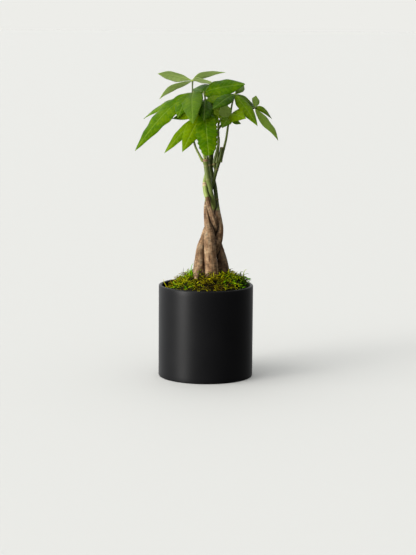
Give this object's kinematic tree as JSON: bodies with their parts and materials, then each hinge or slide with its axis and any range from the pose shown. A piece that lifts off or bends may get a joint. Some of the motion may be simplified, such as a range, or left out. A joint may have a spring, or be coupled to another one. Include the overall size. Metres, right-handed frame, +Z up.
{
  "type": "potted money tree",
  "caption": "Small money tree with a braided trunk, hand-shaped leaves and moss at its foot, growing in a plain matte black cylindrical pot.",
  "frame": {"origin": "centre of the pot's flat foot", "axes": "+Z up, -Y towards the plant's front, +X to the right seen from the front"},
  "size_m": [0.1883, 0.18, 0.4099],
  "materials": {
    "pot": "matte",
    "soil": "matte",
    "moss": "matte",
    "stem": "matte",
    "leaf": "satin"
  },
  "bodies": {
    "root": {"pot": "pot", "soil": "soil", "moss": "moss", "stem_left": "stem", "stem_front": "stem", "stem_right": "stem", "stem_back": "stem", "leaf_1": "leaf", "leaf_2": "leaf", "leaf_3": "leaf", "leaf_4": "leaf", "leaf_5": "leaf", "leaf_6": "leaf", "leaf_7": "leaf", "leaf_8": "leaf", "leaf_9": "leaf", "leaf_10": "leaf"}
  },
  "joints": []
}
